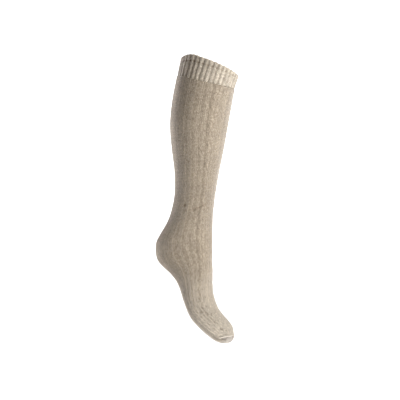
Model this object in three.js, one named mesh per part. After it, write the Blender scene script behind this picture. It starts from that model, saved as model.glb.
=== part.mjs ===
// Knitted knee sock, kept in the form it has when worn on tiptoe, hollow from the cuff to the toe.
// Millimetres; +X points to the toes, -Y is the outer side, +Z is up.
// The origin is the middle of the leg opening.
import * as THREE from "three";
import { mergeVertices } from "three/addons/utils/BufferGeometryUtils.js";

const degree = Math.PI / 180;

// Leg
const legLength = 300;
const calfDepth = 122;
const calfWidth = 108;
const ankleDepth = 83;
const ankleWidth = 67;
const legLeanAngle = 12;

// Foot
const footLength = 250;
const footDrop = 128;
const ballWidth = 86;
const instepFull = 2.1;
const ankleForward = 11.5;
const footPitchAngle = 49;

// Cuff
const cuffHeight = 33;
const cuffWall = 2.8;
const cuffSnug = 0.8;
const rimOpen = 6.5;
const cuffRibs = 38;
const ribDepth = 0.9;
const rimRounding = 0.9;
const pinchDepth = 0.7;
const pinchFromRim = 0.34;

// Knitted wall
const wall = 2.4;
const gap = 0.3;

// Cable columns and the fine ridges beside them
const cableAngle = 41.25;
const cableSpread = 10;
const cableRepeat = 18.5;
const cableHeight = 1.3;
const ridgeAngle = 77;
const ridgeSpread = 4;
const ridgeHeight = 0.5;
const toePlain = 0.5;

// Heel pocket and toe cap
const heelFrontAngle = 97;
const seamWidth = 2.6;
const seamAngle = 90;
const seamTurnAngle = 10;
const seamBeforeTip = 1.1;
const seamBend = 1.7;
const liningBeforeTip = 1.2;

// Sections of the leg from the cuff's lower edge down
// down: share of legLength; forward: share of calfDepth
// depth and width: 0 is the calf's size, 1 the ankle's; lean: share of legLeanAngle
const legRows = [
  { down: 0.0, forward: -0.05, depth: -0.03, width: 0.08, lean: 1.27 },
  { down: 0.15, forward: -0.131, depth: 0.0, width: 0.0, lean: 0.92 },
  { down: 0.3, forward: -0.187, depth: 0.1, width: 0.08, lean: 0.6 },
  { down: 0.45, forward: -0.207, depth: 0.385, width: 0.4, lean: 0.4 },
  { down: 0.6, forward: -0.223, depth: 0.76, width: 0.75, lean: 0.33 },
  { down: 0.75, forward: -0.256, depth: 0.95, width: 0.99, lean: 0.4 },
  { down: 0.85, forward: -0.298, depth: 0.89, width: 0.98, lean: 0.25 },
  { down: 0.925, forward: -0.344, depth: 0.68, width: 0.93, lean: 0.0 },
];

// Sections from the top of the heel to the toe, from the front of the ankle
// topAlong and soleAlong: share of footLength; topDrop and soleDrop: share of footDrop
// width and side: share of ballWidth; full: 2 rounds the sole like an ellipse, more makes it squarer
const footRows = [
  { topAlong: 0.0, topDrop: -0.006, soleAlong: -0.28, soleDrop: 0.68, width: 0.82, side: 0, full: 2.2 },
  { topAlong: 0.036, topDrop: 0.05, soleAlong: -0.255, soleDrop: 0.81, width: 0.81, side: 0, full: 2.3 },
  { topAlong: 0.07, topDrop: 0.108, soleAlong: -0.205, soleDrop: 0.91, width: 0.79, side: 0, full: 2.3 },
  { topAlong: 0.103, topDrop: 0.164, soleAlong: -0.135, soleDrop: 0.975, width: 0.77, side: 0, full: 2.4 },
  { topAlong: 0.133, topDrop: 0.218, soleAlong: -0.05, soleDrop: 0.965, width: 0.76, side: 0, full: 2.4 },
  { topAlong: 0.163, topDrop: 0.277, soleAlong: 0.013, soleDrop: 0.94, width: 0.76, side: 0, full: 2.4 },
  { topAlong: 0.218, topDrop: 0.37, soleAlong: 0.103, soleDrop: 0.93, width: 0.79, side: 0, full: 2.4 },
  { topAlong: 0.278, topDrop: 0.493, soleAlong: 0.186, soleDrop: 0.955, width: 0.84, side: 0, full: 2.5 },
  { topAlong: 0.342, topDrop: 0.611, soleAlong: 0.267, soleDrop: 1.005, width: 0.91, side: 0, full: 2.5 },
  { topAlong: 0.404, topDrop: 0.685, soleAlong: 0.343, soleDrop: 1.05, width: 0.97, side: 0.01, full: 2.5 },
  { topAlong: 0.469, topDrop: 0.732, soleAlong: 0.43, soleDrop: 1.088, width: 1.0, side: 0.02, full: 2.5 },
  { topAlong: 0.534, topDrop: 0.738, soleAlong: 0.52, soleDrop: 1.09, width: 0.98, side: 0.04, full: 2.4 },
  { topAlong: 0.591, topDrop: 0.73, soleAlong: 0.6, soleDrop: 1.075, width: 0.92, side: 0.06, full: 2.3 },
  { topAlong: 0.642, topDrop: 0.732, soleAlong: 0.665, soleDrop: 1.053, width: 0.82, side: 0.08, full: 2.2 },
  { topAlong: 0.68, topDrop: 0.76, soleAlong: 0.714, soleDrop: 1.012, width: 0.7, side: 0.09, full: 2.2 },
  { topAlong: 0.708, topDrop: 0.795, soleAlong: 0.742, soleDrop: 0.96, width: 0.55, side: 0.1, full: 2.1 },
  { topAlong: 0.727, topDrop: 0.83, soleAlong: 0.752, soleDrop: 0.915, width: 0.4, side: 0.1, full: 2.1 },
  { topAlong: 0.742, topDrop: 0.872, soleAlong: 0.742, soleDrop: 0.872, width: 0.26, side: 0.1, full: 2.1 },
];

// Height of the rim over the leg's first row, as a share of cuffHeight, round the leg from the front
const rimRows = [
  { angle: 0, rise: 0.85 },
  { angle: 45, rise: 1.13 },
  { angle: 90, rise: 1.32 },
  { angle: 110, rise: 1.36 },
  { angle: 135, rise: 1.21 },
  { angle: 160, rise: 1.03 },
  { angle: 180, rise: 0.93 },
  { angle: 225, rise: 0.82 },
  { angle: 270, rise: 0.82 },
  { angle: 315, rise: 0.68 },
  { angle: 360, rise: 0.85 },
];

function blend(from, to, share) {
  return from + (to - from) * share;
}

// A section is a closed curve between a front and a back point, square to the sock's plane of symmetry
function section(front, back, halfWidth, side, topFull, soleFull) {
  return { front, back, halfWidth, side, topFull, soleFull };
}

function legSection(row) {
  const lean = legLeanAngle * row.lean * degree;
  const halfDepth = blend(calfDepth, ankleDepth, row.depth) / 2;
  const middle = new THREE.Vector2(calfDepth * row.forward, legTop().y - legLength * row.down);
  const across = new THREE.Vector2(Math.cos(lean), -Math.sin(lean)).multiplyScalar(halfDepth);
  const halfWidth = blend(calfWidth, ankleWidth, row.width) / 2;
  return section(middle.clone().add(across), middle.clone().sub(across), halfWidth, 0, 2, 2);
}

function legTop() {
  const lean = legLeanAngle * degree;
  return new THREE.Vector2(-Math.sin(lean), -Math.cos(lean)).multiplyScalar(cuffHeight);
}

// The cuff runs straight up from the leg's first section
function cuffSection(first, rise) {
  const lean = legLeanAngle * degree;
  const up = new THREE.Vector2(Math.sin(lean), Math.cos(lean)).multiplyScalar(cuffHeight * rise);
  const open = new THREE.Vector2(rimOpen * rise, 0);
  return section(first.front.clone().add(up).add(open), first.back.clone().add(up), first.halfWidth, 0, 2, 2);
}

function footSection(row, ankleFront) {
  const pitch = footPitchAngle * degree;
  const along = new THREE.Vector2(Math.cos(pitch), -Math.sin(pitch)).multiplyScalar(footLength);
  const drop = new THREE.Vector2(-Math.sin(pitch), -Math.cos(pitch)).multiplyScalar(footDrop);
  const place = (a, d) => ankleFront.clone().addScaledVector(along, a).addScaledVector(drop, d);
  return section(place(row.topAlong, row.topDrop), place(row.soleAlong, row.soleDrop),
    (ballWidth * row.width) / 2, ballWidth * row.side, instepFull, row.full);
}

function allSections() {
  const leg = legRows.map(legSection);
  const ankleFront = new THREE.Vector2(legTop().x + ankleForward, legTop().y - legLength);
  const foot = footRows.map((row) => footSection(row, ankleFront));
  return [cuffSection(leg[0], 2), cuffSection(leg[0], 1), ...leg, ...foot];
}

const sections = allSections();
const legAt = 2;
const heelAt = legAt + legRows.length;
const soleAt = heelAt + 5;
const toeAt = heelAt + 12;
const tipAt = sections.length - 1;

// Smooth curve through four values, t from the second to the third
function smooth(a, b, c, d, t) {
  const startSlope = (c - a) / 2;
  const endSlope = (d - b) / 2;
  const u = t * t * (3 - 2 * t);
  return b + (c - b) * u + startSlope * t * (1 - t) * (1 - t) - endSlope * t * t * (1 - t);
}

function sectionAt(at) {
  const i = Math.min(Math.max(Math.floor(at), 0), sections.length - 2);
  const near = [i - 1, i, i + 1, i + 2].map((k) => sections[Math.min(Math.max(k, 0), sections.length - 1)]);
  const mix = (read) => smooth(...near.map(read), at - i);
  return section(
    new THREE.Vector2(mix((n) => n.front.x), mix((n) => n.front.y)),
    new THREE.Vector2(mix((n) => n.back.x), mix((n) => n.back.y)),
    mix((n) => n.halfWidth), mix((n) => n.side), mix((n) => n.topFull), mix((n) => n.soleFull));
}

// Point of the smooth outer form; angle is 0 at the front and 90 on the outer side
function formPoint(at, angle) {
  const s = sectionAt(at);
  const c = Math.cos(angle * degree);
  const k = Math.sin(angle * degree);
  const full = c > 0 ? s.topFull : s.soleFull;
  const along = Math.sign(c) * Math.abs(c) ** (2 / full);
  const across = Math.sign(k) * Math.abs(k) ** (2 / full);
  const x = (s.front.x + s.back.x) / 2 + ((s.front.x - s.back.x) / 2) * along;
  const z = (s.front.y + s.back.y) / 2 + ((s.front.y - s.back.y) / 2) * along;
  return new THREE.Vector3(x, s.side - s.halfWidth * across, z);
}

function alongStep(at, angle) {
  const reach = 0.01;
  return formPoint(at + reach, angle).sub(formPoint(at - reach, angle)).divideScalar(2 * reach);
}

function roundStep(at, angle) {
  const reach = 0.5;
  return formPoint(at, angle + reach).sub(formPoint(at, angle - reach)).divideScalar(2 * reach);
}

function outwards(at, angle) {
  return roundStep(at, angle).cross(alongStep(at, angle)).normalize();
}

// The same place moved by a distance in millimetres, down the sock or round it
function movedDown(at, angle, distance) {
  return at + distance / alongStep(at, angle).length();
}

function movedRound(at, angle, distance) {
  return angle + distance / roundStep(at, angle).length();
}

function skinPoint(at, angle, height) {
  return formPoint(at, angle).addScaledVector(outwards(at, angle), height);
}

// Stations a fixed length apart, measured down the sock at one angle
function stations(from, to, step, angle) {
  const fine = 0.02;
  const lengths = [0];
  const places = [from];
  for (let at = from; at < to - fine / 2; at += fine) {
    const next = Math.min(at + fine, to);
    lengths.push(lengths.at(-1) + formPoint(at, angle).distanceTo(formPoint(next, angle)));
    places.push(next);
  }
  const count = Math.max(2, Math.round(lengths.at(-1) / step));
  return Array.from({ length: count + 1 }, (_, i) => {
    const wanted = (lengths.at(-1) * i) / count;
    const k = Math.min(Math.max(lengths.findIndex((l) => l >= wanted), 1), lengths.length - 1);
    return blend(places[k - 1], places[k], (wanted - lengths[k - 1]) / (lengths[k] - lengths[k - 1]));
  });
}

// Shells are made of quads, two rows of points at a time
class Shell {
  constructor() {
    this.corners = [];
  }

  strip(upper, lower) {
    for (let i = 0; i + 1 < upper.length; i++) {
      this.triangle(upper[i], upper[i + 1], lower[i + 1]);
      this.triangle(upper[i], lower[i + 1], lower[i]);
    }
  }

  triangle(a, b, c) {
    const same = (p, q) => p.distanceTo(q) < 1e-6;
    if (!same(a, b) && !same(b, c) && !same(c, a)) {
      this.corners.push(...a.toArray(), ...b.toArray(), ...c.toArray());
    }
  }

  sheet(rows) {
    for (let i = 0; i + 1 < rows.length; i++) {
      this.strip(rows[i], rows[i + 1]);
    }
  }

  lining(rows) {
    for (let i = 0; i + 1 < rows.length; i++) {
      this.strip(rows[i + 1], rows[i]);
    }
  }

  geometry() {
    const soup = new THREE.BufferGeometry();
    soup.setAttribute("position", new THREE.Float32BufferAttribute(this.corners, 3));
    const shared = mergeVertices(soup, 1e-4);
    shared.computeVertexNormals();
    return shared;
  }
}

function piece(name, shell, color, roughness) {
  const material = new THREE.MeshStandardMaterial({ color, roughness, metalness: 0 });
  const mesh = new THREE.Mesh(shell.geometry(), material);
  mesh.name = name;
  return mesh;
}

const oatmeal = 0xb9a791;
const cream = 0xcfc4b0;
const yarnRoughness = 0.95;

// Height of the cable columns and ridges over the plain knitting
function relief(at, angle, row) {
  const turn = angle > 180 ? 360 - angle : Math.abs(angle);
  const fromCable = Math.abs(turn - cableAngle) / cableSpread;
  const fromRidge = Math.abs(turn - ridgeAngle) / ridgeSpread;
  if (at > toeAt - toePlain) {
    return 0;
  }
  if (fromCable < 1) {
    return cableHeight * cableShape(fromCable, row % 2 === 0);
  }
  return ridgeHeight * Math.max(0, 1 - fromRidge);
}

// Two strands cross at every other row and lie side by side between the crossings
function cableShape(fromMiddle, crossing) {
  const middle = crossing ? 1 : 0.45;
  const strand = crossing ? 0.55 : 1;
  const share = fromMiddle * 2;
  return share < 1 ? blend(middle, strand, share) : strand * (2 - share);
}

// Angles of the columns round the sock, closer together on the cables and ridges
function patternAngles() {
  const half = [0, 12, 24];
  for (const share of [-1, -0.5, 0, 0.5, 1]) {
    half.push(cableAngle + cableSpread * share);
  }
  half.push((cableAngle + cableSpread + ridgeAngle - ridgeSpread) / 2);
  for (const share of [-1, 0, 1]) {
    half.push(ridgeAngle + ridgeSpread * share);
  }
  return half;
}

function roundAngles(backStep) {
  const half = patternAngles();
  const first = heelFrontAngle;
  const count = Math.round((180 - first) / backStep);
  for (let i = 0; i < count; i++) {
    half.push(blend(first, 180, i / count));
  }
  const other = half.slice(1).reverse().map((angle) => 360 - angle);
  return [...half, 180, ...other, 360];
}

const ring = (angles, point) => {
  const points = angles.slice(0, -1).map(point);
  return [...points, points[0]];
};

// Rim height at an angle, smoothed between the rows of the table
function rimRise(angle) {
  const rows = rimRows.slice(0, -1);
  const count = rows.length;
  const turn = ((angle % 360) + 360) % 360;
  const i = rimRows.findIndex((row) => row.angle > turn) - 1;
  const pick = (k) => rows[(k + count) % count].rise;
  const share = (turn - rimRows[i].angle) / (rimRows[i + 1].angle - rimRows[i].angle);
  return smooth(pick(i - 1), pick(i), pick(i + 1), pick(i + 2), share);
}

function cuff() {
  const count = 2 * cuffRibs;
  const angles = Array.from({ length: count + 1 }, (_, i) => (360 * i) / count);
  const shell = new Shell();
  const rimPlace = (angle, under) => legAt - rimRise(angle) + under / cuffHeight;
  const rib = (i) => (i % 2 === 0 ? 0 : -ribDepth);
  const edge = (angle) => movedDown(legAt, angle, -gap / 2);
  const row = (place, height) =>
    ring(angles, (angle, i) => skinPoint(place(angle), angle, height(i) - cuffSnug));
  const halfWay = 0.5;
  const nearLeg = 0.12;
  const between = (share) => (angle) => blend(edge(angle), rimPlace(angle, rimRounding), share);
  const outside = [
    row((angle) => rimPlace(angle, 0), (i) => rib(i) - rimRounding),
    row((angle) => rimPlace(angle, rimRounding), rib),
    row(between(1 - pinchFromRim), (i) => rib(i) - pinchDepth),
    row(between(halfWay), rib),
    row(between(nearLeg), rib),
    row(edge, (i) => rib(i) - pinchDepth),
  ];
  const inner = () => -cuffWall;
  const inside = [
    row((angle) => rimPlace(angle, 0), () => rimRounding - cuffWall),
    row((angle) => rimPlace(angle, rimRounding), inner),
    row(between(halfWay), inner),
    row(edge, inner),
  ];
  shell.sheet(outside);
  shell.lining(inside);
  shell.strip(inside[0], outside[0]);
  shell.strip(outside.at(-1), inside.at(-1));
  return piece("cuff", shell, cream, yarnRoughness);
}

// The lining needs only every third row
function liningRows(last) {
  const rows = [];
  for (let i = 0; i < last - 1; i += 3) {
    rows.push(i);
  }
  return [...rows, last];
}

function leg() {
  const angles = roundAngles(12);
  const shell = new Shell();
  const start = (angle) => movedDown(legAt, angle, gap / 2);
  const end = (angle) => movedDown(heelAt, angle, -gap / 2);
  const places = stations(legAt, heelAt, cableRepeat / 2, cableAngle);
  const last = places.length - 1;
  const place = (i, angle) => (i === 0 ? start(angle) : i === last ? end(angle) : places[i]);
  const outside = places.map((at, i) =>
    ring(angles, (angle) => skinPoint(place(i, angle), angle, relief(at, angle, i))));
  const inside = liningRows(last).map((i) =>
    ring(angles, (angle) => skinPoint(place(i, angle), angle, -wall)));
  shell.sheet(outside);
  shell.lining(inside);
  shell.strip(inside[0], outside[0]);
  shell.strip(outside.at(-1), inside.at(-1));
  return piece("leg", shell, oatmeal, yarnRoughness);
}

// Rows that the heel's front border shares with the foot
const heelSteps = 6;
const heelRows = Array.from({ length: heelSteps + 1 }, (_, i) => blend(heelAt, soleAt, i / heelSteps));

function foot() {
  const angles = roundAngles(14);
  const front = [...angles.filter((angle) => angle >= 360 - heelFrontAngle).map((angle) => angle - 360),
    ...angles.filter((angle) => angle > 0 && angle <= heelFrontAngle)];
  const back = angles.filter((angle) => angle >= heelFrontAngle && angle <= 360 - heelFrontAngle);
  const start = (angle) => movedDown(heelAt, angle, gap / 2);
  const end = (angle) => movedDown(toeAt, angle, -gap / 2);
  const places = stations(soleAt, toeAt, cableRepeat / 2, 0);
  const last = places.length - 1;
  const place = (i, angle) => (i === last ? end(angle) : places[i]);
  const frontRow = (i, height) => front.map((angle) => {
    const at = i === 0 ? start(angle) : heelRows[i];
    return skinPoint(at, angle, height(at, angle, i));
  });
  const fullRow = (i, height) =>
    ring(angles, (angle) => skinPoint(place(i, angle), angle, height(places[i], angle, i)));
  const flat = () => -wall;
  const frontOut = heelRows.map((_, i) => frontRow(i, relief));
  const frontIn = heelRows.map((_, i) => frontRow(i, flat));
  const outside = places.map((_, i) => fullRow(i, relief));
  const inside = liningRows(last).map((i) => fullRow(i, flat));
  const backOut = back.map((angle) => skinPoint(soleAt, angle, 0));
  const backIn = back.map((angle) => skinPoint(soleAt, angle, -wall));
  const shell = new Shell();
  shell.sheet(frontOut);
  shell.lining(frontIn);
  shell.sheet(outside);
  shell.lining(inside);
  shell.strip(frontIn[0], frontOut[0]);
  shell.strip(backIn, backOut);
  shell.strip(outside.at(-1), inside.at(-1));
  shell.strip(frontOut.map((row) => row[0]), frontIn.map((row) => row[0]));
  shell.strip(frontIn.map((row) => row.at(-1)), frontOut.map((row) => row.at(-1)));
  return piece("foot", shell, oatmeal, yarnRoughness);
}

function heel() {
  const back = roundAngles(12).filter((angle) => angle >= heelFrontAngle && angle <= 360 - heelFrontAngle);
  const lastColumn = back.length - 1;
  const place = (i, j) => {
    const inset = i === 0 ? gap / 2 : i === heelSteps ? -gap : 0;
    const at = movedDown(heelRows[i], back[j], inset);
    const turn = j === 0 ? gap : j === lastColumn ? -gap : 0;
    return [at, movedRound(at, back[j], turn)];
  };
  const rows = (height) => heelRows.map((_, i) => back.map((_, j) => skinPoint(...place(i, j), height)));
  const outside = rows(0);
  const inside = rows(-wall);
  const shell = new Shell();
  shell.sheet(outside);
  shell.lining(inside);
  shell.strip(inside[0], outside[0]);
  shell.strip(outside.at(-1), inside.at(-1));
  shell.strip(outside.map((row) => row[0]), inside.map((row) => row[0]));
  shell.strip(inside.map((row) => row.at(-1)), outside.map((row) => row.at(-1)));
  return piece("heel", shell, oatmeal, yarnRoughness);
}

function toe() {
  const columns = 15;
  const half = Array.from({ length: columns + 1 }, (_, i) => (180 * i) / columns);
  const angles = [...half, ...half.slice(0, -1).reverse().map((angle) => 360 - angle)];
  const start = (angle) => movedDown(toeAt, angle, gap / 2);
  const count = 9;
  const down = (last, i, angle) => (i === 0 ? start(angle) : blend(toeAt, last, i / count));
  const rows = (last, height) => Array.from({ length: count + 1 }, (_, i) =>
    ring(angles, (angle) => skinPoint(down(last, i, angle), angle, height)));
  const outside = rows(tipAt, 0);
  const inside = rows(tipAt - liningBeforeTip, -wall);
  const end = inside.at(-1);
  const shell = new Shell();
  shell.sheet(outside);
  shell.lining(inside);
  shell.strip(inside[0], outside[0]);
  shell.strip([end[0], ...end.slice(half.length - 1, -1).reverse()], end.slice(0, half.length));
  return piece("toe", shell, oatmeal, yarnRoughness);
}

// The linked seam lies across the top of the toe cap, nearest the tip at its middle
// share: -1 at its inner end, 1 at its outer end
function seamPlace(share) {
  return [tipAt - seamBeforeTip - seamBend * share * share, seamTurnAngle + seamAngle * share];
}

function toeSeam() {
  const steps = 16;
  const sides = 6;
  const radius = seamWidth / 2;
  const middle = (share) => skinPoint(...seamPlace(share), radius + gap);
  const loops = Array.from({ length: steps + 1 }, (_, i) => {
    const share = blend(-1, 1, i / steps);
    const out = outwards(...seamPlace(share));
    const run = middle(share + 1 / steps).sub(middle(share - 1 / steps));
    const down = out.clone().cross(run).normalize();
    return Array.from({ length: sides + 1 }, (_, k) => {
      const turn = (2 * Math.PI * (k % sides)) / sides;
      const point = middle(share).addScaledVector(out, radius * Math.cos(turn));
      return point.addScaledVector(down, -radius * Math.sin(turn));
    });
  });
  const shell = new Shell();
  shell.sheet(loops);
  const close = (loop) => {
    const centre = new THREE.Vector3();
    loop.slice(0, -1).forEach((point) => centre.addScaledVector(point, 1 / sides));
    return loop.map(() => centre);
  };
  shell.strip(close(loops[0]), loops[0]);
  shell.strip(loops.at(-1), close(loops.at(-1)));
  return piece("toe_seam", shell, oatmeal, yarnRoughness);
}

const sock = new THREE.Group();
sock.add(cuff(), leg(), heel(), foot(), toe(), toeSeam());

export default sock;
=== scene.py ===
import math
import bpy
import numpy as np
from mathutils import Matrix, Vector


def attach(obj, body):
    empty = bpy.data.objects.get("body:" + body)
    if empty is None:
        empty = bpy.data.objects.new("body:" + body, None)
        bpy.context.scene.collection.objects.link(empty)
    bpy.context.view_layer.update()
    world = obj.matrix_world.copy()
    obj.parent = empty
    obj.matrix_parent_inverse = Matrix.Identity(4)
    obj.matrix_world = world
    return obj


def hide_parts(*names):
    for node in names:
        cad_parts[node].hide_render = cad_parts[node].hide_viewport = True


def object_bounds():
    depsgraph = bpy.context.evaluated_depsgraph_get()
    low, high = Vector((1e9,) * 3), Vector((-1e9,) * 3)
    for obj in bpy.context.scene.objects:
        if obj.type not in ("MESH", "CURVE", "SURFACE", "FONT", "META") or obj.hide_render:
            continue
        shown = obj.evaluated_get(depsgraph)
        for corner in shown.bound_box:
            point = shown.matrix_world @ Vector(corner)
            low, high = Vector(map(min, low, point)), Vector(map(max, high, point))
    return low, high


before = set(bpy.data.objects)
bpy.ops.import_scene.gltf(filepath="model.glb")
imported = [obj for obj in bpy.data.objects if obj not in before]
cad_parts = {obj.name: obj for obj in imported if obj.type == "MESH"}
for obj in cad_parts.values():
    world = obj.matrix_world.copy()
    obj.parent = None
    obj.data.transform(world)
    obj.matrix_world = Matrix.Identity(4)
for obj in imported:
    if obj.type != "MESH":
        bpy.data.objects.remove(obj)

cadBox = [list(corner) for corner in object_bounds()]
print("frame loaded, CAD box", cadBox)

# The worn form. Metres; +X points to the toes, -Y is the outer side, +Z is up.
# The origin is the middle of the leg opening.
form = {
    "legLength": 0.300,
    "calfDepth": 0.122,
    "calfWidth": 0.108,
    "ankleDepth": 0.083,
    "ankleWidth": 0.067,
    "legLean": 12,            # degrees forward at the cuff
    "footLength": 0.250,
    "footDrop": 0.128,        # front of the ankle to the sole, square to the foot
    "ballWidth": 0.086,
    "instepFull": 2.1,
    "ankleForward": 0.0115,
    "footPitch": 49,          # degrees, toes down
    "cuffHeight": 0.033,
    "rimOpen": 0.0065,
    "wall": 0.0024,
    "edgeGap": 0.0002,        # cuff and leg end this far from the line where they meet
}

# down: share of legLength; forward: share of calfDepth; lean: share of legLean
# depth, width: 0 is the calf's, 1 the ankle's
legColumns = ("down", "forward", "depth", "width", "lean")
legRows = [
    (0.0, -0.05, -0.03, 0.08, 1.27),
    (0.15, -0.131, 0.0, 0.0, 0.92),
    (0.3, -0.187, 0.1, 0.08, 0.6),
    (0.45, -0.207, 0.385, 0.4, 0.4),
    (0.6, -0.223, 0.76, 0.75, 0.33),
    (0.75, -0.256, 0.95, 0.99, 0.4),
    (0.85, -0.298, 0.89, 0.98, 0.25),
    (0.925, -0.344, 0.68, 0.93, 0.0),
]

# topAlong, soleAlong: share of footLength; topDrop, soleDrop: share of footDrop
# width, side: share of ballWidth; full: squareness of the sole
footColumns = ("topAlong", "topDrop", "soleAlong", "soleDrop", "width", "side", "full")
footRows = [
    (0.0, -0.006, -0.28, 0.68, 0.82, 0, 2.2),
    (0.036, 0.05, -0.255, 0.81, 0.81, 0, 2.3),
    (0.07, 0.108, -0.205, 0.91, 0.79, 0, 2.3),
    (0.103, 0.164, -0.135, 0.975, 0.77, 0, 2.4),
    (0.133, 0.218, -0.05, 0.965, 0.76, 0, 2.4),
    (0.163, 0.277, 0.013, 0.94, 0.76, 0, 2.4),
    (0.218, 0.37, 0.103, 0.93, 0.79, 0, 2.4),
    (0.278, 0.493, 0.186, 0.955, 0.84, 0, 2.5),
    (0.342, 0.611, 0.267, 1.005, 0.91, 0, 2.5),
    (0.404, 0.685, 0.343, 1.05, 0.97, 0.01, 2.5),
    (0.469, 0.732, 0.43, 1.088, 1.0, 0.02, 2.5),
    (0.534, 0.738, 0.52, 1.09, 0.98, 0.04, 2.4),
    (0.591, 0.73, 0.6, 1.075, 0.92, 0.06, 2.3),
    (0.642, 0.732, 0.665, 1.053, 0.82, 0.08, 2.2),
    (0.68, 0.76, 0.714, 1.012, 0.7, 0.09, 2.2),
    (0.708, 0.795, 0.742, 0.96, 0.55, 0.1, 2.1),
    (0.727, 0.83, 0.752, 0.915, 0.4, 0.1, 2.1),
    (0.742, 0.872, 0.742, 0.872, 0.26, 0.1, 2.1),      # the tip closes on a line
]

# Rim height over the first row of the leg, as a share of cuffHeight, by angle from the front
rimRows = [(0, 0.85), (45, 1.13), (90, 1.32), (110, 1.36), (135, 1.21),
           (160, 1.03), (180, 0.93), (225, 0.82), (270, 0.82), (315, 0.68)]


def blendTo(a, b, share):
    return a + (b - a) * share


def turned(angle):
    return np.array([math.cos(math.radians(angle)), math.sin(math.radians(angle))])


def sectionTable():
    lean = turned(form["legLean"])
    up = np.array([lean[1], lean[0]]) * form["cuffHeight"]
    rows = []
    for values in legRows:
        row = dict(zip(legColumns, values))
        tilt = turned(form["legLean"] * row["lean"])
        half = blendTo(form["calfDepth"], form["ankleDepth"], row["depth"]) / 2
        middle = np.array([form["calfDepth"] * row["forward"], -up[1] - form["legLength"] * row["down"]])
        across = np.array([tilt[0], -tilt[1]]) * half
        halfWidth = blendTo(form["calfWidth"], form["ankleWidth"], row["width"]) / 2
        rows.append([*(middle + across), *(middle - across), halfWidth, 0, 2, 2])
    ankle = np.array([-up[0] + form["ankleForward"], -up[1] - form["legLength"]])
    pitch = turned(form["footPitch"])
    along = np.array([pitch[0], -pitch[1]]) * form["footLength"]
    drop = np.array([-pitch[1], -pitch[0]]) * form["footDrop"]
    for values in footRows:
        row = dict(zip(footColumns, values))
        top = ankle + along * row["topAlong"] + drop * row["topDrop"]
        sole = ankle + along * row["soleAlong"] + drop * row["soleDrop"]
        rows.append([*top, *sole, form["ballWidth"] * row["width"] / 2, form["ballWidth"] * row["side"],
                     form["instepFull"], row["full"]])
    first = rows[0]
    above = []
    for rise in (2, 1):
        shift = up * rise
        above.append([first[0] + shift[0] + form["rimOpen"] * rise, first[1] + shift[1],
                      first[2] + shift[0], first[3] + shift[1], *first[4:]])
    return np.array(above + rows)


sections = sectionTable()
legAt = 2
heelAt = legAt + len(legRows)
soleAt = heelAt + 5
toeAt = heelAt + 12
tipAt = len(sections) - 1


def smoothThrough(a, b, c, d, t):
    u = t * t * (3 - 2 * t)
    return b + (c - b) * u + (c - a) / 2 * t * (1 - t) ** 2 - (d - b) / 2 * t * t * (1 - t)


# Points of the smooth outer form; angle is in degrees, 0 at the front and 90 on the outer side.
# flat closes the section towards its middle line.
def formPoints(at, angle, flat=0.0):
    last = len(sections) - 1
    i = np.clip(np.floor(at).astype(int), 0, last - 1)
    t = (at - i)[..., None]
    near = [sections[np.clip(i + k, 0, last)] for k in (-1, 0, 1, 2)]
    s = smoothThrough(*near, t)
    c, k = np.cos(np.radians(angle)), np.sin(np.radians(angle))
    full = np.where(c > 0, s[..., 6], s[..., 7])
    along = np.sign(c) * np.abs(c) ** (2 / full) * (1 - flat)
    across = np.sign(k) * np.abs(k) ** (2 / full)
    x = (s[..., 0] + s[..., 2]) / 2 + (s[..., 0] - s[..., 2]) / 2 * along
    z = (s[..., 1] + s[..., 3]) / 2 + (s[..., 1] - s[..., 3]) / 2 * along
    return np.stack([x, s[..., 5] - s[..., 4] * across, z], -1)


def formNormals(at, angle):
    reach, turn = 0.01, 0.5
    low = np.minimum(at + reach, tipAt - 0.001)
    down = formPoints(low, angle) - formPoints(low - 2 * reach, angle)
    around = formPoints(at, angle + turn) - formPoints(at, angle - turn)
    normal = np.cross(around, down)
    length = np.linalg.norm(normal, axis=-1, keepdims=True)
    return normal / np.maximum(length, 1e-12)


def lifted(at, angle, height):
    return formPoints(at, angle) + formNormals(at, angle) * np.asarray(height)[..., None]


# Length down the sock at one angle, as a table to read both ways
def lengthTable(start, end, angle):
    at = np.arange(start, end + 0.005, 0.01)
    points = formPoints(at, np.full_like(at, angle))
    steps = np.linalg.norm(np.diff(points, axis=0), axis=1)
    return at, np.concatenate([[0], np.cumsum(steps)])


def evenStations(start, end, count, angle):
    at, length = lengthTable(start, end, angle)
    return np.interp(np.linspace(0, length[-1], count + 1), length, at)


def lengthsOf(stations, angle):
    at, length = lengthTable(stations[0], stations[-1], angle)
    return np.interp(stations, at, length)


def rimRise(angle):
    angles = np.array([row[0] for row in rimRows] + [360])
    rises = np.array([row[1] for row in rimRows])
    turn = np.mod(angle, 360)
    i = np.clip(np.searchsorted(angles, turn, side="right") - 1, 0, len(rises) - 1)
    share = (turn - angles[i]) / (angles[i + 1] - angles[i])
    pick = [rises[(i + k) % len(rises)] for k in (-1, 0, 1, 2)]
    return smoothThrough(*pick, share)


def smoothEdge(value, low, high):
    t = np.clip((value - low) / (high - low), 0, 1)
    return t * t * (3 - 2 * t)


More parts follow.
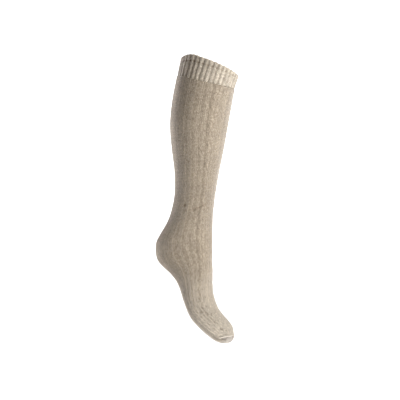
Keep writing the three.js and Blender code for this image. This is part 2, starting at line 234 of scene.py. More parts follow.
# The knit: wales run down the sock, courses round it
knit = {
    "wales": 96,
    "perWale": 4,             # mesh columns to a wale
    "waleDepth": 0.00045,
    "course": 0.0029,
    "firstRowDepth": 0.0003,  # the leg's first courses, under the cuff
    "firstRowSize": 0.0022,
    "cableMiddle": 11,        # wales from the front, on both sides
    "cableHalf": 2,           # wales in half a cable
    "gutter": 1,              # flatter wales on each side of it
    "gutterRelief": 0.3,      # share of waleDepth that they keep
    "cableEdge": 0.35,        # wales past its half where the cable ends
    "gutterEdge": 0.3,        # wales past the gutter where the panel ends
    "edgeBlend": 0.5,         # wales over which both run out
    "cableRepeat": 0.0185,
    "cableHeight": 0.0009,
    "cableWaleRelief": 0.8,
    "strandHalf": 0.56,       # share of cableHalf
    "strandSwing": 0.5,       # share of cableHalf
    "backStrand": 0.55,       # height of the strand behind, as a share of the one in front
    "patternEnd": 24.5,       # section where the pattern runs out on the toe
    "patternFade": 0.8,       # sections over which it runs out
    "twistMiddle": 21.5,      # the narrow twist on the side
    "twistHalf": 0.85,        # in wales, and so are the next four
    "twistSwing": 0.28,
    "twistEdge": 1.15,
    "twistPanel": 2.2,
    "twistBlend": 0.4,
    "twistGutter": 0.6,       # relief of the flatter wales beside it, as a share of the cable's gutter
    "twistRepeat": 0.0066,
    "twistHeight": 0.0004,
}

# Painted shade: how dark the hollows, gutters, dents, folds, the lining and the tip's underside are
# coloured, as a share of the darkest shade
shades = {
    "lining": 0.2,
    "wale": 0.35,
    "cable": 0.4,
    "cableWale": 0.5,         # share of the wale's
    "crossingShade": 0.2,
    "footCrossingShade": 0.9,
    "twist": 0.5,
    "twistGutter": 0.05,
    "twistDot": 0.3,
    "pucker": 1.5,
    "crease": 0.6,
    "rib": 0.3,
    "pinch": 0.3,
    "pinchHollow": 0.8,
    "firstRow": 0.2,
    "seamTuck": 0.4,
    "pastSeam": 0.75,
    "underTip": 0.65,
    "seamFoot": 0.4,
}

# Length that the cables follow, so that they cross at even steps down the leg and over the instep
cableAt, cableLength = lengthTable(legAt, tipAt, 41)


# Height of the knitting over the smooth form in metres, and the painted shade of its hollows
def knitRelief(at, angle):
    wale = np.mod(angle, 360) / 360 * knit["wales"]
    side = np.minimum(wale, knit["wales"] - wale)
    run = np.interp(at, cableAt, cableLength)
    ribs = (0.5 - 0.5 * np.cos(2 * np.pi * wale)) ** 0.7
    plain = knit["waleDepth"] * (ribs - 1)
    # painted shade in the hollows between the wales
    plainShade = (1 - ribs) * shades["wale"]
    keep = 1 - smoothEdge(at, knit["patternEnd"] - knit["patternFade"], knit["patternEnd"])
    gutter = plain * knit["gutterRelief"]

    # the cable: two strands that swing across each other
    fromCable = side - knit["cableMiddle"]
    half = knit["cableHalf"]
    phase = np.pi * run / knit["cableRepeat"]
    strands = []
    for start in (0, np.pi):
        middle = half * knit["strandSwing"] * np.cos(phase + start)
        front = 0.5 + 0.5 * np.sin(phase + start)
        bow = np.clip(1 - ((fromCable - middle) / (half * knit["strandHalf"])) ** 2, 0, 1) ** 0.5
        strands.append(bow * blendTo(knit["backStrand"], 1.0, front))
    rope = np.maximum(*strands)
    inCable = smoothEdge(half + knit["cableEdge"] - np.abs(fromCable), 0, knit["edgeBlend"])
    panelHalf = half + knit["gutter"] + knit["gutterEdge"]
    inPanel = smoothEdge(panelHalf - np.abs(fromCable), 0, knit["edgeBlend"]) * keep
    # painted shade: the flatter wales beside the cable darken in dashes where its strands cross, most on
    # the foot
    beat = 0.5 + 0.5 * np.cos(2 * phase)
    onFoot = smoothEdge(at, soleAt - 1, toeAt - 2)
    crossingShade = shades["crossingShade"] * beat ** 3 + shades["footCrossingShade"] * beat ** 5 * onFoot
    cableHeight = knit["cableHeight"] * rope + plain * knit["cableWaleRelief"]
    cableShade = (1 - rope) * shades["cable"] + plainShade * shades["cableWale"]
    height = blendTo(plain, blendTo(gutter, cableHeight, inCable), inPanel)
    shade = blendTo(plainShade, blendTo(crossingShade, cableShade, inCable), inPanel)

    # the narrow twist beside it, between two flatter wales
    fromTwist = side - knit["twistMiddle"]
    phase = 2 * np.pi * run / knit["twistRepeat"]
    fromStrand = (fromTwist - knit["twistSwing"] * np.cos(phase)) / knit["twistHalf"]
    strand = np.clip(1 - fromStrand ** 2, 0, 1) ** 0.5
    inTwist = smoothEdge(knit["twistEdge"] - np.abs(fromTwist), 0, knit["twistBlend"])
    inPanel = smoothEdge(knit["twistPanel"] - np.abs(fromTwist), 0, knit["twistBlend"]) * keep
    strandHeight = knit["twistHeight"] * strand
    height = blendTo(height, blendTo(gutter * knit["twistGutter"], strandHeight, inTwist), inPanel)
    # painted shade in the twist's flatter wales, deeper in dots at its crossings, and beside its strand
    dots = 0.5 + 0.5 * np.cos(2 * phase)
    gutterShade = shades["twistGutter"] + shades["twistDot"] * dots
    shade = blendTo(shade, blendTo(gutterShade, (1 - strand) * shades["twist"], inTwist), inPanel)
    return height, shade


# Small dents in the leg: a pucker beside the ankle and a shallow crease across its front; each is sunk
# and coloured with painted shade
marks = {
    "puckerAt": 7.75,
    "puckerAngle": 91,
    "puckerDepth": 0.0016,
    "puckerSize": 0.0025,
    "creaseAt": 7.84,
    "creaseAngle": 49,
    "creaseHalf": 21,         # degrees
    "creaseEnds": 6,          # degrees over which it runs out
    "creaseSlope": 0.0145,    # sections to a degree
    "creaseDepth": 0.0009,
    "creaseSize": 0.0022,
    "sectionLength": 0.028,
    "degreeLength": 0.00065,
}


def dentsAndShade(at, angle):
    down = (at - marks["puckerAt"]) * marks["sectionLength"]
    side = (angle - marks["puckerAngle"]) * marks["degreeLength"]
    pucker = np.exp(-(down ** 2 + side ** 2) / marks["puckerSize"] ** 2)
    bend = angle - marks["creaseAngle"]
    down = (at - marks["creaseAt"] - bend * marks["creaseSlope"]) * marks["sectionLength"]
    ends = 1 - smoothEdge(np.abs(bend), marks["creaseHalf"] - marks["creaseEnds"], marks["creaseHalf"])
    crease = np.exp(-(down / marks["creaseSize"]) ** 2) * ends
    height = -marks["puckerDepth"] * pucker - marks["creaseDepth"] * crease
    return height, shades["pucker"] * pucker + shades["crease"] * crease


def selectOnly(piece):
    bpy.ops.object.select_all(action="DESELECT")
    piece.select_set(True)
    bpy.context.view_layer.objects.active = piece


def coordinates(mesh):
    values = np.empty(len(mesh.vertices) * 3, np.float32)
    mesh.vertices.foreach_get("co", values)
    return values.reshape(-1, 3).astype(np.float64)


def setCoordinates(mesh, points):
    mesh.vertices.foreach_set("co", np.ascontiguousarray(points, np.float32).ravel())
    mesh.update()


def readAttribute(mesh, name):
    values = np.empty(len(mesh.vertices), np.float32)
    mesh.attributes[name].data.foreach_get("value", values)
    return values.astype(np.float64)


def writeAttribute(mesh, name, values):
    layer = mesh.attributes.new(name, "FLOAT", "POINT")
    layer.data.foreach_set("value", np.ascontiguousarray(values, np.float32).ravel())


# A flat grid is wrapped round the worn form and given a wall; then its two faces take their own heights.
# at, angle and course are tables over the grid's rows and columns; drop says which faces are left out.
def wrapKnit(name, at, angle, course, outer, inner, drop=None):
    rows, columns = at.shape
    bpy.ops.object.select_all(action="DESELECT")
    bpy.ops.mesh.primitive_grid_add(x_subdivisions=columns - 1, y_subdivisions=rows - 1,
                                    size=1, calc_uvs=True)
    piece = bpy.context.object
    piece.name = piece.data.name = name
    mesh = piece.data
    writeAttribute(mesh, "at", at)
    writeAttribute(mesh, "angle", angle)
    uv = mesh.uv_layers.active
    uv.name = "knit"
    loops = np.empty(len(mesh.loops), np.int32)
    mesh.loops.foreach_get("vertex_index", loops)
    where = np.stack([angle.ravel() / 360, course.ravel()], -1)[loops]
    uv.data.foreach_set("uv", where.astype(np.float32).ravel())
    setCoordinates(mesh, formPoints(at.ravel(), angle.ravel()))
    if drop is not None:
        dropFaces(piece, drop, columns)
    selectOnly(piece)
    bpy.ops.object.mode_set(mode="EDIT")
    bpy.ops.mesh.select_all(action="SELECT")
    bpy.ops.mesh.remove_doubles(threshold=0.00001)
    bpy.ops.mesh.normals_make_consistent(inside=False)
    bpy.ops.object.mode_set(mode="OBJECT")
    wallModifier = piece.modifiers.new("wall", "SOLIDIFY")
    wallModifier.thickness = form["wall"]
    wallModifier.offset = -1
    before = len(mesh.vertices)
    bpy.ops.object.modifier_apply(modifier=wallModifier.name)
    mesh = piece.data
    places, turns = readAttribute(mesh, "at"), readAttribute(mesh, "angle")
    height, shade = outer(places[:before], turns[:before])
    points = lifted(places[:before], turns[:before], height)
    setCoordinates(mesh, np.concatenate([points, inner(places[before:], turns[before:])]))
    # painted shade: the lining is coloured evenly darker
    liningShade = np.full(len(mesh.vertices) - before, shades["lining"])
    writeAttribute(mesh, "shade", np.concatenate([shade, liningShade]))
    for key in ("at", "angle"):
        mesh.attributes.remove(mesh.attributes[key])
    selectOnly(piece)
    bpy.ops.object.shade_smooth_by_angle(angle=math.radians(55))
    print(name, "wrapped,", len(mesh.polygons), "faces")
    return piece


def dropFaces(piece, drop, columns):
    mesh = piece.data
    flags = [drop(*divmod(min(face.vertices), columns)) for face in mesh.polygons]
    bpy.ops.object.mode_set(mode="EDIT")
    bpy.ops.mesh.select_mode(type="FACE")
    bpy.ops.mesh.select_all(action="DESELECT")
    bpy.ops.object.mode_set(mode="OBJECT")
    mesh.polygons.foreach_set("select", flags)
    bpy.ops.object.mode_set(mode="EDIT")
    bpy.ops.mesh.delete(type="FACE")
    bpy.ops.object.mode_set(mode="OBJECT")


def lining(at, angle):
    return lifted(at, angle, np.full(at.shape, -form["wall"]))


def tables(stations, angles):
    at = np.repeat(stations[:, None], len(angles), 1)
    angle = np.repeat(angles[None, :], len(stations), 0)
    return at, angle


# Mesh rows down each piece
rowCounts = {"leg": 118, "instep": 22, "sole": 52, "heel": 44, "toe": 50}


def walesRound():
    return np.linspace(0, 360, knit["wales"] * knit["perWale"] + 1)


# The cuff, a 1x1 rib with a turned edge
cuffKnit = {
    "ribs": 38,
    "perRib": 10,             # mesh columns to a rib
    "rows": 40,
    "rowCrowding": 1.15,      # over 1 puts the rows closer together at the rim
    "ribDepth": 0.0011,
    "innerRibDepth": 0.0006,
    "snug": 0.0008,           # sunk below the leg's face
    "wall": 0.0028,
    "rimRound": 0.0016,
    "rimScallop": 0.0004,
    "pinchAt": 0.75,          # share of the cuff's height
    "pinchDepth": 0.0009,
    "pinchSize": 0.0016,
    "pinchAngle": 100,        # where it is deepest
    "pinchSpread": 45,
    "pinchElsewhere": 0.35,
    "rootDepth": 0.0003,
    "rootSize": 0.0012,
}


def cuffRelief(at, angle):
    wave = 0.5 + 0.5 * np.cos(2 * np.pi * angle / 360 * cuffKnit["ribs"])
    rib = smoothEdge(wave, 0.0, 0.85)
    tall = rimRise(angle) * form["cuffHeight"]
    share = (legAt - at) / rimRise(angle)
    fromPinch = (share - cuffKnit["pinchAt"]) * tall
    fromDeepest = (np.mod(angle, 360) - cuffKnit["pinchAngle"]) / cuffKnit["pinchSpread"]
    outerSide = blendTo(cuffKnit["pinchElsewhere"], 1, np.exp(-fromDeepest ** 2))
    pinch = np.exp(-(fromPinch / cuffKnit["pinchSize"]) ** 2) * outerSide
    root = np.exp(-(share * tall / cuffKnit["rootSize"]) ** 2)
    over = np.clip(1 - (1 - share) * tall / cuffKnit["rimRound"], 0, 1)
    roundOff = cuffKnit["rimRound"] * (1 - np.sqrt(np.clip(1 - over ** 2, 0, 1)))
    height = (cuffKnit["ribDepth"] * (rib - 1) - cuffKnit["pinchDepth"] * pinch
              - cuffKnit["rootDepth"] * root - roundOff - cuffKnit["snug"])
    # painted shade in the gutters between the ribs and in the pinch, where it is deepest on the outer
    # side
    shade = (1 - rib) * shades["rib"] + pinch * (shades["pinch"] + shades["pinchHollow"] * (1 - rib))
    return height, np.clip(shade, 0, 1.2)


def makeCuff():
    angles = np.linspace(0, 360, cuffKnit["ribs"] * cuffKnit["perRib"] + 1)
    share, angle = tables(1 - np.linspace(1, 0, cuffKnit["rows"]) ** cuffKnit["rowCrowding"], angles)
    edge = form["edgeGap"] / form["cuffHeight"]
    scallop = cuffKnit["rimScallop"] / form["cuffHeight"]
    waves = np.cos(2 * np.pi * angle / 360 * cuffKnit["ribs"])
    at = legAt - edge - share * (rimRise(angle) - edge) - scallop * waves * share ** 6
    course = share * rimRise(angle) * form["cuffHeight"] / knit["course"]

    def inner(at, angle):
        rib = 0.5 - 0.5 * np.cos(2 * np.pi * angle / 360 * cuffKnit["ribs"])
        return lifted(at, angle, cuffKnit["innerRibDepth"] * rib - cuffKnit["wall"] - cuffKnit["snug"])

    return wrapKnit("cuff_knit", at, angle, course, cuffRelief, inner)


def makeLeg():
    stations = evenStations(legAt, heelAt, rowCounts["leg"], 90)
    stations[0] += form["edgeGap"] / form["cuffHeight"]
    at, angle = tables(stations, walesRound())
    course, _ = tables(lengthsOf(stations, 90) / knit["course"], angle[0])

    def outer(at, angle):
        height, shade = knitRelief(at, angle)
        sink, dark = dentsAndShade(at, angle)
        # painted shade: the leg's first courses under the cuff darken in a dotted row, and the dents add
        # theirs
        first = np.exp(-((at - legAt) * form["cuffHeight"] / knit["firstRowSize"]) ** 2)
        dots = 0.5 + 0.5 * np.cos(2 * np.pi * np.mod(angle, 360) / 360 * knit["wales"])
        shade = shade + dark + first * shades["firstRow"] * dots
        return height + sink - knit["firstRowDepth"] * first, shade

    return wrapKnit("leg_knit", at, angle, course, outer, lining)


heelFrontAngle = 97.5        # on the edge of a wale
heelGapAngle = 0.1           # degrees between heel and foot
heelInset = 0.004            # sections between heel and foot, above and below
toeInset = 0.001             # sections between foot and toe


def makeFoot():
    instepRows = evenStations(heelAt, soleAt, rowCounts["instep"], 60)
    soleRows = evenStations(soleAt, toeAt, rowCounts["sole"], 90)
    stations = np.concatenate([instepRows, soleRows[1:]])
    at, angle = tables(stations, walesRound())
    course, _ = tables(lengthsOf(stations, 60) / knit["course"], angle[0])
    step = angle[0][1]

    def heelGap(row, column):
        return row < len(instepRows) - 1 and heelFrontAngle < (column + 0.5) * step < 360 - heelFrontAngle

    return wrapKnit("foot_knit", at, angle, course, knitRelief, lining, heelGap)


def makeHeel():
    stations = evenStations(heelAt, soleAt, rowCounts["heel"], 180)
    stations[0] += heelInset
    stations[-1] -= heelInset
    count = round((180 - heelFrontAngle) * 2 / 360 * knit["wales"]) * knit["perWale"]
    front = heelFrontAngle + heelGapAngle
    at, angle = tables(stations, np.linspace(front, 360 - heelFrontAngle - heelGapAngle, count + 1))
    course, _ = tables(lengthsOf(stations, 180) / knit["course"], angle[0])
    return wrapKnit("heel_knit", at, angle, course, knitRelief, lining)


# Lengths in sections, counted back from the tip where a name says from or to
toeKnit = {
    "fadeFrom": 1.6,          # the relief runs out
    "fadeTo": 0.3,
    "underFrom": 1.5,         # painted shade darkens the tip's underside
    "underTo": 0.5,
    "tuckAt": 0.22,           # painted shade of folds on both sides of the seam; only the colour draws them
    "tuckSize": 0.12,
    "seamEnds": (-5, 10),     # degrees past the seam's ends over which its shade runs out
    "liningReach": 0.76,      # share of the toe that the lining fills
    "liningFlat": 1.2,
}


def makeToe():
    stations = evenStations(toeAt, tipAt, rowCounts["toe"], 0)
    stations[0] += toeInset
    at, angle = tables(stations, walesRound())
    course, _ = tables(lengthsOf(stations, 0) / knit["course"], angle[0])

    def outer(at, angle):
        height, shade = knitRelief(at, angle)
        fade = 1 - smoothEdge(at, tipAt - toeKnit["fadeFrom"], tipAt - toeKnit["fadeTo"])
        turn = np.mod(angle + 180, 360) - 180
        past = at - tipAt + seamBend(turn)
        beside = np.abs(turn - toeSeam["turn"]) - toeSeam["angle"]
        nearSeam = 1 - smoothEdge(beside, *toeKnit["seamEnds"])
        fromTuck = (np.abs(past) - toeKnit["tuckAt"]) / toeKnit["tuckSize"]
        # painted shade: folds beside the seam, the cap past the seam and the tip's underside are darkened
        # in the colour
        seamShade = shades["seamTuck"] * np.exp(-fromTuck ** 2) + shades["pastSeam"] * smoothEdge(past, 0, 0.3)
        underTip = smoothEdge(at, tipAt - toeKnit["underFrom"], tipAt - toeKnit["underTo"])
        return height * fade, shade * fade + np.maximum(seamShade * nearSeam, shades["underTip"] * underTip)

    # the lining follows at a distance and closes on its own line
    def inner(at, angle):
        share = (at - toeAt) / (tipAt - toeAt)
        back = toeAt + (at - toeAt) * blendTo(1, toeKnit["liningReach"], share)
        flat = smoothEdge(at, tipAt - toeKnit["liningFlat"], tipAt)
        points = formPoints(back, angle, flat)
        return points - formNormals(back, angle) * (form["wall"] * (1 - flat))[:, None]

    return wrapKnit("toe_knit", at, angle, course, outer, inner)


toeSeam = {
    "beforeTip": 1.1,         # sections, at its middle
    "bend": 1.7,              # sections further back at its ends
    "angle": 90,              # degrees to each side of its middle
    "turn": 10,               # degrees that its middle is turned from the front
    "width": 0.0026,
    "steps": 110,
    "stitches": 40,
    "stitchRelief": 0.14,
    "taper": 0.06,
}


def seamBend(angle):
    return toeSeam["beforeTip"] + toeSeam["bend"] * ((angle - toeSeam["turn"]) / toeSeam["angle"]) ** 2


# The linked seam: a round ridge of stitches laid over the toe cap
def makeToeSeam():
    radius = toeSeam["width"] / 2
    bpy.ops.object.select_all(action="DESELECT")
    bpy.ops.mesh.primitive_cylinder_add(vertices=12, radius=1, depth=2, end_fill_type="TRIFAN")
    piece = bpy.context.object
    piece.name = piece.data.name = "toe_seam_knit"
    bpy.ops.object.mode_set(mode="EDIT")
    bpy.ops.mesh.select_mode(type="EDGE")
    bpy.ops.mesh.select_all(action="DESELECT")
    bpy.ops.object.mode_set(mode="OBJECT")
    mesh = piece.data
    ends = coordinates(mesh)[:, 2]
    lengthwise = [abs(ends[edge.vertices[0]] - ends[edge.vertices[1]]) > 1 for edge in mesh.edges]
    mesh.edges.foreach_set("select", lengthwise)
    bpy.ops.object.mode_set(mode="EDIT")
    bpy.ops.mesh.subdivide_edgering(number_cuts=toeSeam["steps"] - 1, interpolation="LINEAR",
                                    smoothness=0)
    bpy.ops.object.mode_set(mode="OBJECT")
    mesh = piece.data
    points = coordinates(mesh)
    share = points[:, 2]

    def place(share):
        angle = toeSeam["turn"] + toeSeam["angle"] * share
        return tipAt - seamBend(angle), angle

    def middle(share):
        at, angle = place(share)
        return lifted(at, angle, np.full(share.shape, radius * 0.5))

    outward = formNormals(*place(share))
    run = middle(share + 0.01) - middle(share - 0.01)
    down = np.cross(outward, run)
    down /= np.linalg.norm(down, axis=1, keepdims=True)
    taper = np.sqrt(np.clip((1 - np.abs(share)) / toeSeam["taper"], 0.1, 1))
    stitch = 1 + toeSeam["stitchRelief"] * np.cos(share * np.pi * toeSeam["stitches"])
    size = (radius * taper * stitch)[:, None]
    setCoordinates(mesh, middle(share) + outward * points[:, :1] * size - down * points[:, 1:2] * size)
    # painted shade on the seam's side that lies against the toe
    writeAttribute(mesh, "shade", np.clip(0.5 - 0.6 * points[:, 0], 0, 1) * shades["seamFoot"])
    mesh.uv_layers.active.name = "knit"
    selectOnly(piece)
    bpy.ops.object.mode_set(mode="EDIT")
    bpy.ops.mesh.select_all(action="SELECT")
    bpy.ops.mesh.normals_make_consistent(inside=False)
    bpy.ops.object.mode_set(mode="OBJECT")
    bpy.ops.object.shade_smooth_by_angle(angle=math.radians(60))
    print("toe seam laid,", len(mesh.polygons), "faces")
    return piece


# Yarn finishes; colours are linear. Between the heights paleHigh and paleLow the colour is multiplied by
# pale, painted light that makes the lower foot and the toe lighter, as the photo shows the toes.
oatmealYarn = {
    "name": "oatmealYarn",
    "base": (0.45, 0.385, 0.305),
    "dark": (0.30, 0.247, 0.188),
    "light": (0.60, 0.53, 0.44),
    "wales": 96,              # round the sock
    "shift": 0.0,             # of a wale
    "stitchDepth": 0.0009,
    "paleHigh": -0.40,
    "paleLow": -0.53,
    "pale": (1.30, 1.37, 1.46),
    "stroke": (0.55, 0.53, 0.50),
}
creamYarn = {
    "name": "creamYarn",
    "base": (0.55, 0.495, 0.415),
    "dark": (0.38, 0.325, 0.26),
    "light": (0.66, 0.61, 0.53),
    "wales": 76,
    "shift": 0.5,
    "stitchDepth": 0.0007,
    "paleHigh": -2.0,         # under the floor: no painted light
    "paleLow": -3.0,
    "pale": (1.0, 1.0, 1.0),
    "stroke": (0.9, 0.9, 0.9),
}
seamYarn = {
    "name": "seamYarn",
    "base": (0.66, 0.60, 0.52),
    "dark": (0.45, 0.40, 0.33),
    "light": (0.80, 0.75, 0.68),
    "wales": 40,
    "shift": 0.0,
    "stitchDepth": 0.0004,
    "paleHigh": -2.0,
    "paleLow": -3.0,
    "pale": (1.0, 1.0, 1.0),
    "stroke": (0.9, 0.9, 0.9),
}

# What all three yarns share. A noise is given by its scale, detail and roughness, if that isn't 0.6;
# the scales are per metre, the strokes' per unit of strokesPerWale and strokesPerCourse.
# A tone is a list of ramp places with their colours.
fabric = {
    "slant": 1.15,            # courses to a wale, along a stitch leg
    "legWidth": 0.55,         # a power: the smaller, the squarer the leg's section
    "legLength": 0.5,
    "fibres": (1400, 3, 0.7),
    "fibreRelief": 0.35,
    "plies": (420, 2, 0.6),
    "plyRelief": 0.7,
    "bump": 0.9,
    "heather": (680, 4, 0.8),
    "heatherStops": (0.32, 0.46, 0.56, 0.68),
    "stitchTone": [(0.0, (0.78, 0.77, 0.76)), (1.0, (1.2, 1.2, 1.2))],
    "columnSeed": 40.0,
    "columnTone": [(0.0, (0.89, 0.88, 0.87)), (1.0, (1.12, 1.12, 1.12))],
    "squiggles": (260, 2),
    "squiggleTone": [(0.38, (0.95, 0.95, 0.95)), (0.62, (1.06, 1.06, 1.05))],
    "strokesPerWale": 0.8,
    "strokesPerCourse": 0.42,
    "strokes": (1.0, 1),
    "strokeStops": (0.34, 0.42, 0.60, 0.72),
    "strokeLight": (1.15, 1.15, 1.15),
    "strokeShare": 0.2,       # share of the strokes outside the painted light of pale; all of them inside it
    "gapShade": 0.85,             # how strongly gapTone, the painted shade between the stitches, counts
    "gapTone": [(0.05, (0.5, 0.47, 0.44)), (0.55, (1.06, 1.06, 1.06))],
    "hollowTone": [(0.0, (1.0, 1.0, 1.0)), (1.0, (0.5, 0.46, 0.42))],
    "patches": (38, 3),
    "patchTone": [(0.35, (0.94, 0.94, 0.945)), (0.65, (1.05, 1.05, 1.04))],
}
untinted = (1.0, 1.0, 1.0)


class NodeTree:
    def __init__(self, material):
        self.tree = material.node_tree

    def add(self, kind, **values):
        node = self.tree.nodes.new(kind)
        for key, value in values.items():
            setattr(node, key, value)
        return node

    def link(self, source, target):
        self.tree.links.new(source, target)

    def put(self, socket, value):
        if hasattr(value, "is_output"):
            self.link(value, socket)
        else:
            socket.default_value = (*value, 1) if isinstance(value, tuple) else value

    def math(self, operation, first, second=None):
        node = self.add("ShaderNodeMath", operation=operation)
        self.put(node.inputs[0], first)
        if second is not None:
            self.put(node.inputs[1], second)
        return node.outputs[0]

    def noise(self, place, scale, detail, roughness=0.6):
        node = self.add("ShaderNodeTexNoise")
        node.inputs["Scale"].default_value = scale
        node.inputs["Detail"].default_value = detail
        node.inputs["Roughness"].default_value = roughness
        self.link(place, node.inputs["Vector"])
        return node.outputs["Fac"]

    def ramp(self, fac, stops):
        node = self.add("ShaderNodeValToRGB")
        while len(node.color_ramp.elements) < len(stops):
            node.color_ramp.elements.new(0.5)
        for element, (place, color) in zip(node.color_ramp.elements, stops):
            element.position = place
            element.color = (*color, 1)
        self.link(fac, node.inputs["Fac"])
        return node.outputs["Color"]

    def mix(self, fac, first, second, mode="MIX"):
        node = self.add("ShaderNodeMix", data_type="RGBA", blend_type=mode)
        for socket, value in zip((node.inputs[0], node.inputs[6], node.inputs[7]), (fac, first, second)):
            self.put(socket, value)
        return node.outputs[2]


def knitMaterial(yarn):
    material = bpy.data.materials.new(yarn["name"])
    material.use_nodes = True
    nodes = NodeTree(material)
    shader = nodes.tree.nodes["Principled BSDF"]
    uv = nodes.add("ShaderNodeUVMap", uv_map="knit")
    split = nodes.add("ShaderNodeSeparateXYZ")
    nodes.link(uv.outputs["UV"], split.inputs[0])
    place = nodes.add("ShaderNodeTexCoord").outputs["Object"]

    # stitches: each wale is a column of Vs, one leg on each side of its middle
    wale = nodes.math("ADD", nodes.math("MULTIPLY", split.outputs["X"], yarn["wales"]), yarn["shift"])
    across = nodes.math("ABSOLUTE", nodes.math("SUBTRACT", nodes.math("FRACT", wale), 0.5))
    course = nodes.math("SUBTRACT", split.outputs["Y"], nodes.math("MULTIPLY", across, fabric["slant"]))
    along = nodes.math("FRACT", course)
    legWidth = nodes.math("SINE", nodes.math("MULTIPLY", across, 2 * math.pi))
    legLength = nodes.math("SINE", nodes.math("MULTIPLY", along, math.pi))
    legs = nodes.math("MULTIPLY",
                      nodes.math("POWER", nodes.math("MAXIMUM", legWidth, 0.0), fabric["legWidth"]),
                      nodes.math("POWER", nodes.math("MAXIMUM", legLength, 0.0), fabric["legLength"]))

    # yarn: fibres and plies on top of the stitches
    fibres = nodes.noise(place, *fabric["fibres"])
    plies = nodes.noise(place, *fabric["plies"])
    height = nodes.math("ADD", legs, nodes.math("MULTIPLY", fibres, fabric["fibreRelief"]))
    height = nodes.math("ADD", height, nodes.math("MULTIPLY", plies, fabric["plyRelief"]))
    bump = nodes.add("ShaderNodeBump")
    bump.inputs["Strength"].default_value = fabric["bump"]
    bump.inputs["Distance"].default_value = yarn["stitchDepth"]
    nodes.link(height, bump.inputs["Height"])
    nodes.link(bump.outputs["Normal"], shader.inputs["Normal"])

    # colour: heathered fibres, then each factor in its turn
    tones = (yarn["dark"], yarn["base"], yarn["base"], yarn["light"])
    heather = nodes.ramp(nodes.noise(place, *fabric["heather"]), list(zip(fabric["heatherStops"], tones)))

    # single stitches and whole wales are lighter or darker by chance
    cells = nodes.add("ShaderNodeTexWhiteNoise", noise_dimensions="2D")
    cell = nodes.add("ShaderNodeCombineXYZ")
    nodes.link(nodes.math("FLOOR", nodes.math("MULTIPLY", wale, 2)), cell.inputs["X"])
    nodes.link(nodes.math("FLOOR", course), cell.inputs["Y"])
    nodes.link(cell.outputs[0], cells.inputs["Vector"])
    tone = nodes.ramp(cells.outputs["Value"], fabric["stitchTone"])
    colour = nodes.mix(1.0, heather, tone, "MULTIPLY")
    columns = nodes.add("ShaderNodeTexWhiteNoise", noise_dimensions="1D")
    nodes.link(nodes.math("ADD", nodes.math("FLOOR", wale), fabric["columnSeed"]), columns.inputs["W"])
    streaks = nodes.ramp(columns.outputs["Value"], fabric["columnTone"])
    colour = nodes.mix(1.0, colour, streaks, "MULTIPLY")
    squiggles = nodes.ramp(nodes.noise(place, *fabric["squiggles"]), fabric["squiggleTone"])
    colour = nodes.mix(1.0, colour, squiggles, "MULTIPLY")

    # low is 0 above paleHigh and 1 below paleLow
    heightSplit = nodes.add("ShaderNodeSeparateXYZ")
    nodes.link(place, heightSplit.inputs[0])
    low = nodes.add("ShaderNodeMapRange", interpolation_type="SMOOTHSTEP")
    nodes.link(heightSplit.outputs["Z"], low.inputs["Value"])
    low.inputs["From Min"].default_value = yarn["paleHigh"]
    low.inputs["From Max"].default_value = yarn["paleLow"]

    # strokes along the wales
    alongWale = nodes.add("ShaderNodeCombineXYZ")
    nodes.link(nodes.math("MULTIPLY", wale, fabric["strokesPerWale"]), alongWale.inputs["X"])
    nodes.link(nodes.math("MULTIPLY", course, fabric["strokesPerCourse"]), alongWale.inputs["Y"])
    strokeTones = (yarn["stroke"], untinted, untinted, fabric["strokeLight"])
    strokes = nodes.ramp(nodes.noise(alongWale.outputs[0], *fabric["strokes"]),
                         list(zip(fabric["strokeStops"], strokeTones)))
    stronger = nodes.math("MULTIPLY", low.outputs["Result"], 1 - fabric["strokeShare"])
    stronger = nodes.math("ADD", stronger, fabric["strokeShare"])
    colour = nodes.mix(stronger, colour, strokes, "MULTIPLY")

    # painted shade in the gaps between the stitches and from the shade that the shapes carry, slow
    # patches, and the painted light of pale low on the foot
    gapShade = nodes.ramp(legs, fabric["gapTone"])
    colour = nodes.mix(fabric["gapShade"], colour, gapShade, "MULTIPLY")
    hollows = nodes.add("ShaderNodeAttribute", attribute_name="shade")
    dim = nodes.ramp(hollows.outputs["Fac"], fabric["hollowTone"])
    colour = nodes.mix(1.0, colour, dim, "MULTIPLY")
    patches = nodes.ramp(nodes.noise(place, *fabric["patches"]), fabric["patchTone"])
    colour = nodes.mix(1.0, colour, patches, "MULTIPLY")
    # painted light: pale lightens the lower foot and the toe
    paintedFootLight = nodes.mix(low.outputs["Result"], untinted, yarn["pale"])
    colour = nodes.mix(1.0, colour, paintedFootLight, "MULTIPLY")
    nodes.link(colour, shader.inputs["Base Color"])
    shader.inputs["Roughness"].default_value = 0.95
    shader.inputs["Specular IOR Level"].default_value = 0.15
    shader.inputs["Sheen Weight"].default_value = 0.8
    shader.inputs["Sheen Roughness"].default_value = 0.3
    shader.inputs["Sheen Tint"].default_value = (0.95, 0.92, 0.9, 1)
    return material


def dress(piece, material, node):
    piece.data.materials.clear()
    piece.data.materials.append(material)
    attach(piece, "root")
    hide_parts(node)


oatmeal = knitMaterial(oatmealYarn)
cream = knitMaterial(creamYarn)
seam = knitMaterial(seamYarn)
dress(makeCuff(), cream, "cuff")
dress(makeLeg(), oatmeal, "leg")
dress(makeFoot(), oatmeal, "foot")
dress(makeHeel(), oatmeal, "heel")
dress(makeToe(), oatmeal, "toe")
dress(makeToeSeam(), seam, "toe_seam")
print("pieces dressed")

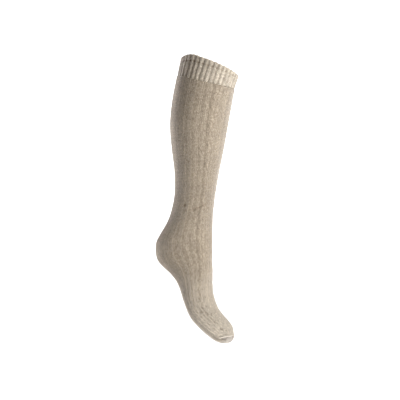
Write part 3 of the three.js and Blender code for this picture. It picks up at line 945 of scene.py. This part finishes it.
# Studio: a pale floor that sweeps up into a wall, soft lights, and the camera at the photo's angle
studio = {
    "middle": (-0.03, 0.0, -0.27),
    "floorUnderToe": 0.45,
    "sweepWidth": 3.6,
    "sweepFront": 0.7,
    "sweepBack": 2.6,
    "sweepRadius": 0.8,
    "sweepTop": 1.6,
    "azimuth": 28,
    "elevation": -4,
    "distance": 3.0,
    "lens": 135,
    "aim": (-0.0218, 0.0044, -0.268),
    "floorColour": (0.86, 0.86, 0.86),
    "glowHeight": 0.08,       # the floor's glow grows from glowLow to glowFull over this height
    "glowLow": 0.12,
    "glowFull": 0.8,
    "air": (1.0, 0.88, 0.76),
    "airStrength": 0.13,
}

# name, azimuth, elevation, distance, size, power in watts, colour
lights = [
    ("keyRight", 75, 14, 2.6, 1.2, 93, (1.0, 1.0, 0.995)),
    ("sideRight", 118, 5, 2.4, 1.2, 14, (1.0, 1.0, 1.0)),
    ("rimLeft", -107, 8, 2.2, 0.7, 120, (0.95, 0.95, 1.0)),
    ("lowToe", 5, -58, 0.66, 0.3, 1.5, (1.0, 1.0, 1.0)),
]


def sideways(azimuth, elevation):
    a, e = math.radians(azimuth), math.radians(elevation)
    return Vector((math.sin(a) * math.cos(e), -math.cos(a) * math.cos(e), math.sin(e)))


def makeBackdrop():
    floor = cadBox[0][2] - studio["floorUnderToe"]
    columns, rows = 12, 60
    bpy.ops.object.select_all(action="DESELECT")
    bpy.ops.mesh.primitive_grid_add(x_subdivisions=columns, y_subdivisions=rows, size=1)
    sweep = bpy.context.object
    sweep.name = "pale_floor"
    points = coordinates(sweep.data)
    back, right = -sideways(studio["azimuth"], 0), sideways(studio["azimuth"] + 90, 0)
    flatLength = studio["sweepFront"] + studio["sweepBack"]
    arc = math.pi / 2 * studio["sweepRadius"]
    placed = []
    for x, y, _ in points:
        run = (y + 0.5) * (flatLength + arc + studio["sweepTop"])
        turn = min(max(run - flatLength, 0) / arc, 1) * math.pi / 2
        depth = min(run, flatLength) - studio["sweepFront"] + math.sin(turn) * studio["sweepRadius"]
        rise = (1 - math.cos(turn)) * studio["sweepRadius"] + max(run - flatLength - arc, 0)
        spot = right * x * studio["sweepWidth"] + back * depth
        placed.append((spot.x, spot.y, floor + rise))
    setCoordinates(sweep.data, np.array(placed))
    bpy.ops.object.shade_smooth()
    material = bpy.data.materials.new("paleFloor")
    material.use_nodes = True
    shader = material.node_tree.nodes["Principled BSDF"]
    shader.inputs["Base Color"].default_value = (*studio["floorColour"], 1)
    shader.inputs["Roughness"].default_value = 0.9
    shader.inputs["Specular IOR Level"].default_value = 0.1
    shader.inputs["Emission Color"].default_value = (1.0, 1.0, 1.0, 1)
    nodes = NodeTree(material)
    split = nodes.add("ShaderNodeSeparateXYZ")
    nodes.link(nodes.add("ShaderNodeTexCoord").outputs["Object"], split.inputs[0])
    glow = nodes.add("ShaderNodeMapRange")
    nodes.link(split.outputs["Z"], glow.inputs["Value"])
    glow.inputs["From Min"].default_value = floor
    glow.inputs["From Max"].default_value = floor + studio["glowHeight"]
    glow.inputs["To Min"].default_value = studio["glowLow"]
    glow.inputs["To Max"].default_value = studio["glowFull"]
    nodes.link(glow.outputs["Result"], shader.inputs["Emission Strength"])
    sweep.data.materials.append(material)


def addLight(name, azimuth, elevation, distance, size, power, colour):
    direction = sideways(azimuth, elevation)
    light = bpy.data.lights.new(name, "AREA")
    light.shape = "DISK"
    light.size = size
    light.energy = power
    light.color = colour
    lamp = bpy.data.objects.new(name, light)
    bpy.context.collection.objects.link(lamp)
    lamp.location = Vector(studio["middle"]) + direction * distance
    lamp.rotation_mode = "QUATERNION"
    lamp.rotation_quaternion = (-direction).to_track_quat("-Z", "Y")


def makeCamera():
    camera = bpy.data.cameras.new("photoView")
    camera.lens = studio["lens"]
    holder = bpy.data.objects.new("photoView", camera)
    bpy.context.collection.objects.link(holder)
    back = sideways(studio["azimuth"], studio["elevation"])
    holder.location = Vector(studio["aim"]) + back * studio["distance"]
    holder.rotation_mode = "QUATERNION"
    holder.rotation_quaternion = (-back).to_track_quat("-Z", "Y")
    bpy.context.scene.camera = holder


makeBackdrop()
makeCamera()
for light in lights:
    addLight(*light)
world = bpy.data.worlds.new("studioAir")
world.use_nodes = True
background = world.node_tree.nodes["Background"]
background.inputs["Color"].default_value = (*studio["air"], 1)
background.inputs["Strength"].default_value = studio["airStrength"]
bpy.context.scene.world = world
bpy.context.scene.view_settings.view_transform = "Standard"
print("studio ready")
